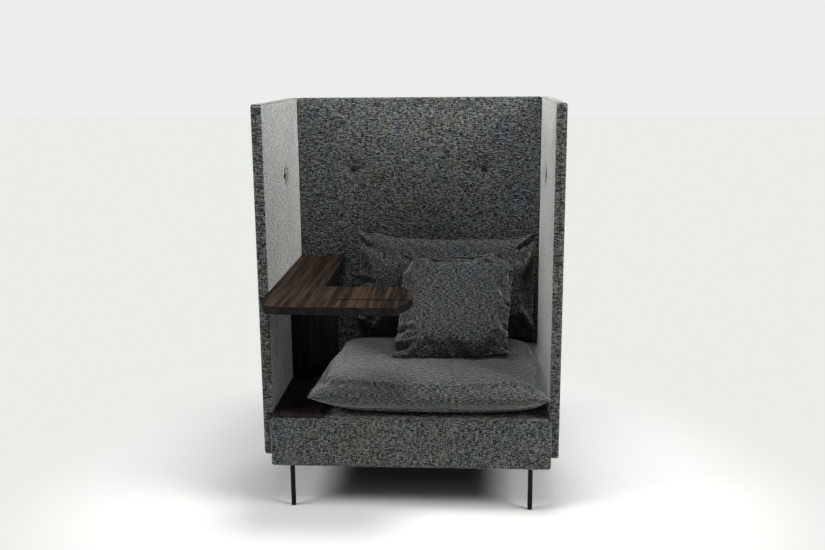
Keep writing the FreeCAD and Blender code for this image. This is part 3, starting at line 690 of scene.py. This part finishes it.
def makeBaseBody():
    low, high = nodeSpan("base_cover")
    piece = addBlock("baseBody", low, high)
    editMesh(piece)
    pickEdges(
        piece,
        lambda a, b: same(a.z, low.z) and same(b.z, low.z)
        and not (same(a.y, low.y) and same(b.y, low.y)),
    )
    bpy.ops.mesh.bevel(offset=base["bodyRadius"], segments=4, affect="EDGES")
    endEdit(piece)
    finishPiece(piece, panelCloth, "frame", ["base_cover"])


makeBaseFront()
makeBaseBody()
print("base made")

# Shelf and upright board under the table

joinery = {"softEdge": 0.0009, "steps": 3}


def makeBoard(name, node, material):
    low, high = nodeSpan(node)
    piece = addBlock(name, low, high)
    editMesh(piece)
    bpy.ops.mesh.select_all(action="SELECT")
    bpy.ops.mesh.bevel(offset=joinery["softEdge"], segments=joinery["steps"], affect="EDGES")
    endEdit(piece, math.radians(30))
    finishPiece(piece, material, "frame", [node])


makeBoard("consoleShelf", "console_shelf", shelfOakPaintedShade)
makeBoard("consoleBoard", "console_board", uprightOakPaintedShade)
print("console made")

# Cushions: two sheets sewn round the rim

sheetGap = 0.7  # between the two sheets on the cloth map


def spread(count, crowding):
    # grid lines from -1 to 1 that crowd towards both rims
    lines = []
    for k in range(count + 1):
        a = -1 + 2 * k / count
        lines.append((1 - crowding) * a + crowding * math.sin(a * math.pi / 2))
    return lines


def lengthsAlong(places):
    lengths = [0.0]
    for before, after in zip(places, places[1:]):
        lengths.append(lengths[-1] + (after - before).length)
    return [length - lengths[-1] / 2 for length in lengths]


def sewnSheets(name, place, form):
    # place(s, t, side) gives a point: s and t run from -1 to 1 across and up the sheet,
    # side is 1 or -1, and 0 on the rim, which both sheets share
    columns, rows = form["columns"], form["rows"]
    mesh = bmesh.new()
    weave = mesh.loops.layers.uv.new("weave")
    across = spread(columns, form["crowding"])
    upward = spread(rows, form["crowding"])
    points = {}
    spots = []
    rimPoints = []
    for side in (1, -1):
        for i, s in enumerate(across):
            for j, t in enumerate(upward):
                rim = i in (0, columns) or j in (0, rows)
                if rim and side == -1:
                    points[side, i, j] = points[1, i, j]
                    continue
                if rim:
                    rimPoints.append(len(spots))
                points[side, i, j] = mesh.verts.new(place(s, t, 0 if rim else side))
                spots.append((0 if rim else side, s, t))
    # the cloth map measures lengths along the sheet, from the middle of each row and column
    sewn = {}
    for side in (1, -1):
        for i in range(columns + 1):
            column = [(side, i, j) for j in range(rows + 1)]
            for key, length in zip(column, lengthsAlong([points[key].co for key in column])):
                sewn[key] = [0.0, length]
        for j in range(rows + 1):
            row = [(side, i, j) for i in range(columns + 1)]
            for key, length in zip(row, lengthsAlong([points[key].co for key in row])):
                sewn[key][0] = length
    for side in (1, -1):
        for i in range(columns):
            for j in range(rows):
                corners = [(i, j), (i + 1, j), (i + 1, j + 1), (i, j + 1)]
                if side < 0:
                    corners.reverse()
                face = mesh.faces.new([points[(side,) + corner] for corner in corners])
                for loop, corner in zip(face.loops, corners):
                    u, v = sewn[(side,) + corner]
                    loop[weave].uv = (u, v + (sheetGap if side < 0 else 0))
    mesh.verts.index_update()
    data = bpy.data.meshes.new(name)
    mesh.to_mesh(data)
    mesh.free()
    piece = bpy.data.objects.new(name, data)
    bpy.context.collection.objects.link(piece)
    group = piece.vertex_groups.new(name="rim")
    group.add(rimPoints, 1.0, "REPLACE")
    return piece, spots


def puffUp(piece, form):
    # blows the slack sheets up while the seam holds them, which wrinkles the cloth
    # no point ends further than form["cap"] from its start
    selectOnly(piece)
    start = [vertex.co.copy() for vertex in piece.data.vertices]
    modifier = piece.modifiers.new("Cloth", "CLOTH")
    cloth = modifier.settings
    cloth.quality = 6
    cloth.mass = 0.25
    cloth.tension_stiffness = 20
    cloth.compression_stiffness = 20
    cloth.shear_stiffness = 8
    cloth.bending_stiffness = form["bending"]
    cloth.tension_damping = 8
    cloth.compression_damping = 8
    cloth.shear_damping = 8
    cloth.air_damping = 1
    cloth.vertex_group_mass = "rim"
    cloth.pin_stiffness = 1
    cloth.use_pressure = True
    cloth.uniform_pressure_force = form["pressure"]
    cloth.shrink_min = -form["slack"]
    cloth.effector_weights.gravity = 0
    modifier.point_cache.frame_start = 1
    modifier.point_cache.frame_end = form["frames"]
    scene = bpy.context.scene
    for number in range(1, form["frames"] + 1):
        scene.frame_set(number)
    bpy.ops.object.modifier_apply(modifier=modifier.name)
    moved = 0.0
    for vertex, before in zip(piece.data.vertices, start):
        step = vertex.co - before
        moved = max(moved, step.length)
        if step.length > form["cap"]:
            vertex.co = before + step * (form["cap"] / step.length)
    scene.frame_set(1)
    print(piece.name, "puffed, furthest", round(moved * 1000, 1), "mm")


rimSteepness = 0.47  # the smaller, the steeper the sheet rises from its seam


def profile(s, power):
    # height over the seam across a stuffed sheet, 1 in the middle and 0 at the rim
    return max(0.0, 1 - abs(s) ** power) ** rimSteepness


def smoothLine(points, value):
    # a smooth line through a few points
    if value <= points[0][0]:
        return points[0][1]
    for (x0, y0), (x1, y1) in zip(points, points[1:]):
        if value <= x1:
            share = (value - x0) / (x1 - x0)
            return y0 + (y1 - y0) * share * share * (3 - 2 * share)
    return points[-1][1]


# reach is in fold widths, endDepth is the share of its depth that a fold keeps at its ends
foldShape = {"gain": 1.5, "reach": 2.6, "endDepth": 0.45}


def foldDepth(folds, x, y):
    # a fold is x0, y0, x1, y1, width, rise in millimetres; the result is in metres
    total = 0.0
    for x0, y0, x1, y1, width, rise in folds:
        runX, runY = x1 - x0, y1 - y0
        length = math.hypot(runX, runY)
        share = ((x - x0) * runX + (y - y0) * runY) / (length * length)
        near = min(1.0, max(0.0, share))
        gap = math.hypot(x - x0 - runX * near, y - y0 - runY * near)
        if gap < width * foldShape["reach"]:
            arch = math.sin(math.pi * min(1.0, near * 0.7 + 0.15))
            fade = foldShape["endDepth"] + (1 - foldShape["endDepth"]) * arch
            total += rise * fade * math.exp(-(gap / width) ** 2)
    return total * foldShape["gain"] / 1000


# noise scales per metre: close along the seam and long square to it, so that gathers
# run out from the seam, and broad for the middle; rimFade is a share of half the sheet
gathers = {"close": 62, "long": 12, "broad": 15, "broadRise": 0.5, "rimFade": 0.03}


def pucker(s, t, x, y, seed, reach, rise):
    # small gathers where the cloth meets its seam
    close, long, broad = gathers["close"], gathers["long"], gathers["broad"]
    onSide, onEnd = (
        math.exp(-gap / reach) * (1 - math.exp(-gap / gathers["rimFade"]))
        for gap in (1 - abs(s), 1 - abs(t))
    )
    sideRow = noise.noise(Vector((x * long, y * close, seed)))
    endRow = noise.noise(Vector((x * close, y * long, seed + 9)))
    middle = noise.noise(Vector((x * broad, y * broad, seed + 4)))
    middle *= gathers["broadRise"] * (1 - onSide) * (1 - onEnd)
    return rise * (onSide * sideRow + onEnd * endRow + middle)


# crown and belly are the heights over and under the seam, the rear end is narrower by
# taper, and the front right corner reaches out past rightEdge to the CAD cushion's side
seatCushion = {
    "crown": 0.050,
    "belly": 0.078,
    "powerAcross": 5.0,
    "powerAlong": 4.0,
    "taper": 0.037,
    "rightEdge": 0.455,
    "cornerShare": 0.06,
    "floorGap": 0.0006,
    "boardGap": 0.003,
    "boardReach": 0.033,
    "boardBlend": 0.03,
    "columns": 112,
    "rows": 96,
    "crowding": 0.75,
    "slack": 0.02,
    "pressure": 0.8,
    "bending": 0.6,
    "frames": 9,
    "cap": 0.005,
    "puckerReach": 0.09,
    "puckerRise": 0.0016,
    "seed": 3.0,
}


def makeSeatCushion():
    form = seatCushion
    low, high = nodeSpan("seat_cushion_top_cover", "seat_cushion_bottom_cover")
    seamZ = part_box("seat_cushion_top_cover")[0][2]
    boardLow, boardHigh = nodeSpan("console_board")
    corner = high.x - form["rightEdge"]
    lowest = low.z + form["floorGap"]

    def place(s, t, side):
        share = (t + 1) / 2
        y = low.y + share * (high.y - low.y)
        left = low.x + form["taper"] * share
        right = form["rightEdge"]
        if share < form["cornerShare"]:
            right += corner * (1 - share / form["cornerShare"])
        bulge = profile(s, form["powerAcross"]) * profile(t, form["powerAlong"])
        x = (left + right) / 2 + s * (right - left) / 2
        if side >= 0:
            z = seamZ + side * form["crown"] * bulge
        else:
            z = max(seamZ - form["belly"] * bulge, lowest)
        return Vector((x, y, z))

    piece, spots = sewnSheets("seatCushion", place, form)
    puffUp(piece, form)
    pressedFrom = boardLow.y - form["boardReach"]
    keepOut = boardHigh.x + form["boardGap"]
    for vertex, (side, s, t) in zip(piece.data.vertices, spots):
        x, y, z = vertex.co
        z += side * pucker(s, t, x, y, form["seed"], form["puckerReach"], form["puckerRise"])
        if y > pressedFrom and x < keepOut:
            # pressed in by the upright board
            x += (keepOut - x) * min(1.0, (y - pressedFrom) / form["boardBlend"])
        vertex.co = (min(x, high.x), y, max(z, lowest))
    return piece


def finishCushion(piece, body, nodes):
    selectOnly(piece)
    modifier = piece.modifiers.new("Smooth", "SUBSURF")
    modifier.levels = 1
    modifier.render_levels = 1
    bpy.ops.object.modifier_apply(modifier=modifier.name)
    bpy.ops.object.shade_smooth()
    finishPiece(piece, cushionClothPaintedShade, body, nodes)


finishCushion(
    makeSeatCushion(), "seat_cushion",
    ["seat_cushion_top_cover", "seat_cushion_bottom_cover", "seat_cushion_filling"],
)
print("seat cushion made")

# Outlines and folds are in millimetres from the middle of the lower seam, seen from the
# front; an outline is pairs of a share from -1 to 1 along the edge and the edge's place.
# lean is in degrees, the limits keep each cushion off its neighbours, and above nodFrom
# the sheets come forward by up to nod. seamY and seamZ place the lower seam; None is
# the CAD cushion's underside.
backCushion = {
    "seamY": 0.3104,
    "seamZ": None,
    "lean": 3.0,
    "rearLimit": 0.069,
    "frontLimit": 0.067,
    "nodFrom": 0.3,
    "nodBlend": 0.12,
    "nod": 0.0,
    "thickness": 0.120,
    "power": 3.6,
    "columns": 120,
    "rows": 78,
    "crowding": 0.6,
    "slack": 0.05,
    "pressure": 2.4,
    "bending": 0.1,
    "frames": 12,
    "cap": 0.009,
    "left": [(-1, -340), (-0.8, -330), (0, -328), (0.75, -322), (1, -336)],
    "right": [(-1, 340), (-0.7, 334), (0.6, 336), (1, 340)],
    "lower": [(-1, 0), (-0.8, 4), (0.8, 4), (1, 0)],
    "upper": [
        (-1, 418), (-0.86, 404), (-0.5, 388), (-0.1, 380), (0.3, 383), (0.75, 382), (1, 406),
    ],
    "folds": [
        (-330, 408, -285, 372, 9, 5), (-312, 372, -270, 340, 8, -6), (-330, 250, -268, 238, 7, 6),
        (-330, 225, -276, 222, 6, -6), (-330, 75, -262, 60, 8, 6), (-328, 48, -272, 40, 7, -7),
        (30, 384, 58, 350, 8, 7), (52, 386, 84, 356, 7, -8), (86, 388, 104, 362, 7, 6),
        (-140, 388, -118, 362, 7, 5), (-160, 386, -140, 356, 7, -6), (-214, 398, -196, 366, 8, -6),
        (180, 384, 196, 360, 8, -6), (330, 402, 270, 362, 9, 6), (322, 372, 276, 348, 8, -6),
        (-60, 380, -44, 362, 6, -5), (236, 382, 244, 360, 7, 5),
    ],
    "puckerReach": 0.16,
    "puckerRise": 0.0085,
    "seed": 1.0,
}
throwPillow = {
    "seamY": 0.0003,
    "seamZ": 0.4625,
    "lean": 38.0,
    "rearLimit": 0.059,
    "frontLimit": 0.07,
    "nodFrom": 0.27,
    "nodBlend": 0.12,
    "nod": 0.017,
    "thickness": 0.112,
    "power": 2.9,
    "columns": 92,
    "rows": 84,
    "crowding": 0.6,
    "slack": 0.05,
    "pressure": 2.4,
    "bending": 0.1,
    "frames": 12,
    "cap": 0.009,
    "left": [(-1, -223), (-0.8, -212), (-0.1, -204), (0.55, -196), (0.86, -172), (1, -220)],
    "right": [(-1, 222), (-0.86, 184), (-0.4, 187), (0.2, 197), (0.8, 205), (1, 209)],
    "lower": [(-1, -4), (-0.7, -6), (0.3, -4), (0.78, 10), (1, 6)],
    "upper": [
        (-1, 410), (-0.86, 388), (-0.6, 381), (-0.35, 381),
        (0, 393), (0.5, 395), (0.68, 401), (1, 352),
    ],
    "folds": [
        (-104, 384, -30, 356, 6, 9), (-30, 356, 34, 360, 8, 6), (-96, 366, -60, 356, 6, -6),
        (-60, 378, 60, 382, 9, -17), (60, 378, 110, 376, 8, -10), (70, 376, 128, 352, 6, 8),
        (128, 352, 140, 322, 6, 5), (96, 352, 122, 330, 7, -6), (150, 388, 202, 352, 7, -8),
        (-168, 366, -192, 326, 8, -14), (-150, 352, -170, 318, 8, 6), (-224, 412, -186, 384, 12, 8),
        (-206, 112, -150, 104, 7, 9), (-206, 88, -146, 84, 6, -9), (-214, 44, -140, 50, 7, 8),
        (-216, 22, -160, 26, 6, -8), (-214, 10, -176, 0, 7, 4), (182, 30, 214, 16, 7, -9),
        (176, 44, 150, 92, 8, 5), (200, 220, 176, 212, 6, 5), (196, 196, 172, 190, 6, -5),
        (190, 126, 168, 120, 6, 5), (188, 104, 166, 100, 6, -5), (-200, 240, -166, 232, 7, -5),
    ],
    "puckerReach": 0.14,
    "puckerRise": 0.007,
    "seed": 5.0,
}


def makeUpright(name, form, *covers):
    low, high = nodeSpan(*covers)
    seamZ = low.z if form["seamZ"] is None else form["seamZ"]
    origin = Vector(((low.x + high.x) / 2, form["seamY"], seamZ))
    lean = math.radians(form["lean"])
    up = Vector((0, math.sin(lean), math.cos(lean)))
    front = Vector((0, -math.cos(lean), math.sin(lean)))

    def place(s, t, side):
        # the four sewn edges blended across the sheet
        left, right = smoothLine(form["left"], t), smoothLine(form["right"], t)
        lower, upper = smoothLine(form["lower"], s), smoothLine(form["upper"], s)
        x = left + (right - left) * (s + 1) / 2
        y = lower + (upper - lower) * (t + 1) / 2
        bulge = profile(s, form["power"]) * profile(t, form["power"])
        return Vector((x / 1000, y / 1000, side * form["thickness"] / 2 * bulge))

    piece, spots = sewnSheets(name, place, form)
    puffUp(piece, form)
    for vertex, (side, s, t) in zip(piece.data.vertices, spots):
        x, y, z = vertex.co
        z += side * pucker(s, t, x, y, form["seed"], form["puckerReach"], form["puckerRise"])
        if side >= 0:
            z += foldDepth(form["folds"], x * 1000, y * 1000)
        z = min(max(z, -form["rearLimit"]), form["frontLimit"])
        nod = min(1.0, max(0.0, (y - form["nodFrom"]) / form["nodBlend"]))
        z += form["nod"] * nod * nod
        vertex.co = origin + Vector((x, 0, 0)) + up * y + front * z
    return piece


for name, form, body in (
    ("backCushion", backCushion, "back_cushion"),
    ("throwPillow", throwPillow, "throw_pillow"),
):
    covers = [body + "_front_cover", body + "_rear_cover"]
    piece = makeUpright(name, form, *covers)
    finishCushion(piece, body, covers + [body + "_filling"])
    print(name, "made")

# Floor, light and camera

studio = {
    "floorColor": (0.87, 0.87, 0.85, 1),
    "floorShown": (0.83, 0.84, 0.805, 1),
    "backdropShown": (0.85, 0.86, 0.835, 1),
    "fadeFrom": 0.65,
    "fadeTo": 1.6,
    "skyStrength": 0.05,
    "floorSize": 40,
    "floorY": 6.0,
}
# name, place, aim, power in watts, width and depth
softboxes = [
    ("topSoftbox", (0.15, -0.35, 3.2), (0, 0, 0.6), 57.0, 0.9, 0.7),
    ("leftSoftbox", (-3.0, -1.3, 2.7), (0, 0, 0.9), 92.0, 1.8, 1.4),
    ("rightSoftbox", (3.0, -1.3, 2.7), (0, 0, 0.9), 100.0, 1.8, 1.4),
    ("rearSoftbox", (0.4, 3.4, 2.6), (0, 0, 0.9), 70.0, 2.0, 1.2),
    ("frontFill", (0.6, -3.4, 2.4), (0, 0, 0.8), 5.0, 1.4, 1.0),
]


def mixShaders(tree, share, first, second, output):
    inputs = {0: share, 1: first.outputs[0], 2: second.outputs[0]}
    mixed = addNode(tree, "ShaderNodeMixShader", inputs)
    tree.links.new(mixed.outputs[0], tree.nodes[output].inputs["Surface"])


def makeStage():
    clearSelection()
    place = (0, studio["floorY"], 0)
    bpy.ops.mesh.primitive_plane_add(size=studio["floorSize"], location=place)
    bpy.ops.object.transform_apply(location=True, rotation=False, scale=False)
    floor = bpy.context.object
    floor.name = "studioFloor"
    material, tree, shader = startMaterial("paleFloor")
    vector = addNode(tree, "ShaderNodeTexCoord").outputs["Object"]
    inputs = {"Base": studio["floorColor"], "Grain": 0.004, "Spread": 0.03}
    fine = placeGroup(tree, mottle, vector, inputs)
    tree.links.new(fine.outputs["Color"], shader.inputs["Base Color"])
    shader.inputs["Roughness"].default_value = 0.6
    shader.inputs["Specular IOR Level"].default_value = 0.2
    # further out the floor runs into the backdrop, for the camera alone
    away = addNode(tree, "ShaderNodeVectorMath", {0: vector}, operation="LENGTH").outputs["Value"]
    fade = remap(tree, away, studio["fadeFrom"], studio["fadeTo"])
    seen = addNode(tree, "ShaderNodeLightPath").outputs["Is Camera Ray"]
    shown = addNode(tree, "ShaderNodeEmission", {"Color": studio["floorShown"], "Strength": 1.0})
    share = calc(tree, "MULTIPLY", fade, seen)
    mixShaders(tree, share, shader, shown, "Material Output")
    floor.data.materials.append(material)
    world = bpy.data.worlds.new("studioSky")
    world.use_nodes = True
    tree = world.node_tree
    background = tree.nodes["Background"]
    background.inputs["Color"].default_value = (1, 1, 1, 1)
    background.inputs["Strength"].default_value = studio["skyStrength"]
    inputs = {"Color": studio["backdropShown"], "Strength": 1.0}
    shown = addNode(tree, "ShaderNodeBackground", inputs)
    seen = addNode(tree, "ShaderNodeLightPath").outputs["Is Camera Ray"]
    mixShaders(tree, seen, background, shown, "World Output")
    bpy.context.scene.world = world


def addLamp(name, spot, aim, energy, width, depth):
    lamp = bpy.data.lights.new(name, "AREA")
    lamp.shape = "RECTANGLE"
    lamp.energy = energy
    lamp.size = width
    lamp.size_y = depth
    holder = bpy.data.objects.new(name, lamp)
    bpy.context.collection.objects.link(holder)
    holder.location = spot
    holder.rotation_euler = (Vector(aim) - Vector(spot)).to_track_quat("-Z", "Y").to_euler()


makeStage()
for softbox in softboxes:
    addLamp(*softbox)

view = {
    "place": (0.1978, -3.2326, 1.4594),
    "turn": (1.357190, 0.007623, 0.060247),
    "lens": 41.81,
}
cameraData = bpy.data.cameras.new("photoView")
cameraData.lens = view["lens"]
cameraData.sensor_width = 36
camera = bpy.data.objects.new("photoView", cameraData)
camera.location = view["place"]
camera.rotation_euler = view["turn"]
bpy.context.collection.objects.link(camera)
scene = bpy.context.scene
scene.camera = camera
scene.view_settings.view_transform = "Standard"
print("stage made")
